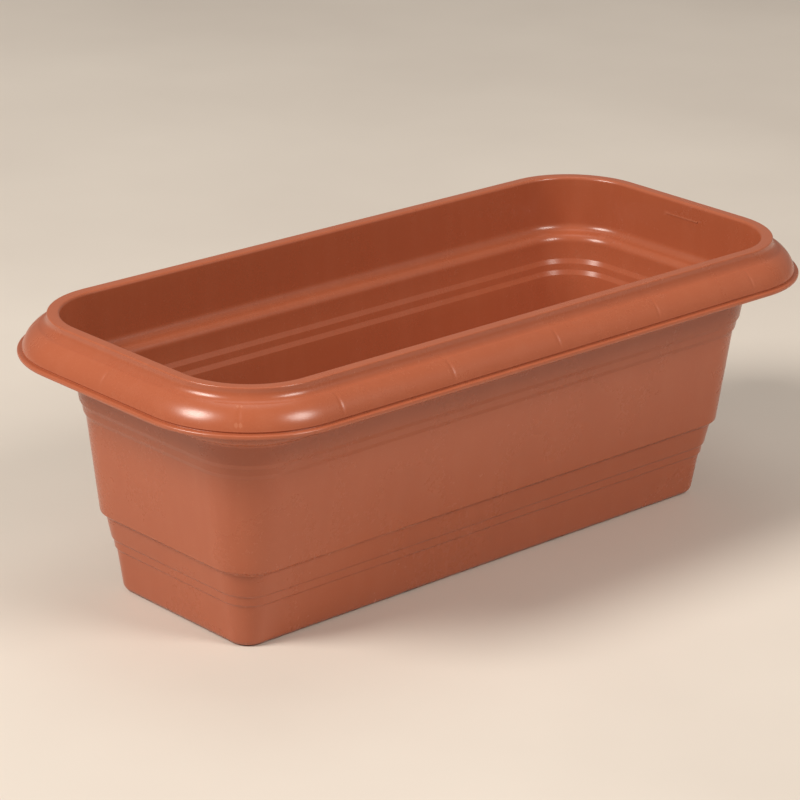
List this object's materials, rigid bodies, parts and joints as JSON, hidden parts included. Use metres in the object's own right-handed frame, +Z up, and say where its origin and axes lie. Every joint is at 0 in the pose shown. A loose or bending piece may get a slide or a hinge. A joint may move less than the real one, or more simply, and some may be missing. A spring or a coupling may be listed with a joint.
{
  "type": "window box planter",
  "caption": "Long rectangular planter with a rolled rim, hollow underneath for lifting, a stepped tapering wall and drain holes closed by push-in plugs.",
  "frame": {"origin": "middle of the bounding box's bottom, on the ground under the base", "axes": "+X along the length of the box, +Y from its front long side to its back long side, +Z up"},
  "size_m": [0.5, 0.238, 0.1735],
  "materials": {
    "box_plastic": "satin terracotta-coloured moulded polypropylene with a fine grain",
    "plug_plastic": "satin terracotta-coloured moulded polypropylene, a little darker"
  },
  "bodies": {
    "box": {"planter_box": "box_plastic"},
    "plug_1": {"drain_plug_1": "plug_plastic"},
    "plug_2": {"drain_plug_2": "plug_plastic"},
    "plug_3": {"drain_plug_3": "plug_plastic"},
    "plug_4": {"drain_plug_4": "plug_plastic"},
    "plug_5": {"drain_plug_5": "plug_plastic"},
    "plug_6": {"drain_plug_6": "plug_plastic"}
  },
  "joints": [
    {"name": "plug_1_lift", "type": "slide", "parent": "box", "child": "plug_1", "axis": [0, 0, 1], "range_m": [0, 0.185]},
    {"name": "plug_2_lift", "type": "slide", "parent": "box", "child": "plug_2", "axis": [0, 0, 1], "range_m": [0, 0.185]},
    {"name": "plug_3_lift", "type": "slide", "parent": "box", "child": "plug_3", "axis": [0, 0, 1], "range_m": [0, 0.185]},
    {"name": "plug_4_lift", "type": "slide", "parent": "box", "child": "plug_4", "axis": [0, 0, 1], "range_m": [0, 0.185]},
    {"name": "plug_5_lift", "type": "slide", "parent": "box", "child": "plug_5", "axis": [0, 0, 1], "range_m": [0, 0.185]},
    {"name": "plug_6_lift", "type": "slide", "parent": "box", "child": "plug_6", "axis": [0, 0, 1], "range_m": [0, 0.185]}
  ]
}
